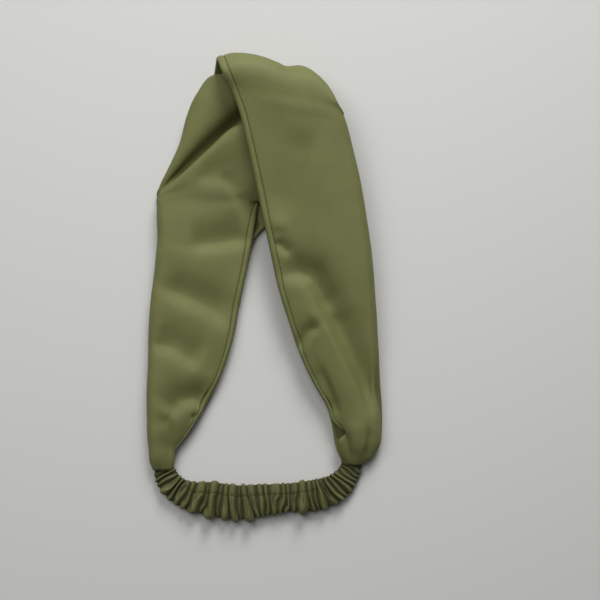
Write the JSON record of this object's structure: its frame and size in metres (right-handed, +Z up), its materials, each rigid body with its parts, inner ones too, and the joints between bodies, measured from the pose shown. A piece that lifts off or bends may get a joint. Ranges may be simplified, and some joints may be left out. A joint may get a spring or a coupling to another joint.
{
  "type": "knotted headband",
  "caption": "Wide woven headband, folded lengthwise and twisted at the front, with a ruched elastic casing at the back.",
  "frame": {"origin": "middle of the headband's bounding box, on the table it lies on", "axes": "+X from the left leg to the right one, +Y from the elastic casing to the twist, +Z up from the table"},
  "size_m": [0.1185, 0.2348, 0.0263],
  "materials": {
    "wrap_fabric": "matte plain weave",
    "lining_fabric": "matte plain weave",
    "casing_fabric": "matte plain weave, ruched",
    "thread": "matte polyester thread",
    "elastic": "braided elastic web"
  },
  "bodies": {
    "left_side": {"left_wrap_face": "wrap_fabric", "left_wrap_lining": "lining_fabric", "left_edge_stitching": "thread", "left_end_seam": "thread", "elastic_casing": "casing_fabric", "casing_stitching": "thread", "elastic_web": "elastic"},
    "right_side": {"right_wrap_face": "wrap_fabric", "right_wrap_lining": "lining_fabric", "right_edge_stitching": "thread", "right_end_seam": "thread"}
  },
  "joints": [
    {"name": "legs_spread", "type": "hinge", "parent": "left_side", "child": "right_side", "pos_m": [0.008, 0.098, 0], "axis": [0, 0, 1], "range_deg": [0, 12], "stiffness_Nm_per_rad": 2, "deforming": ["elastic_casing", "elastic_web", "casing_stitching"]}
  ]
}
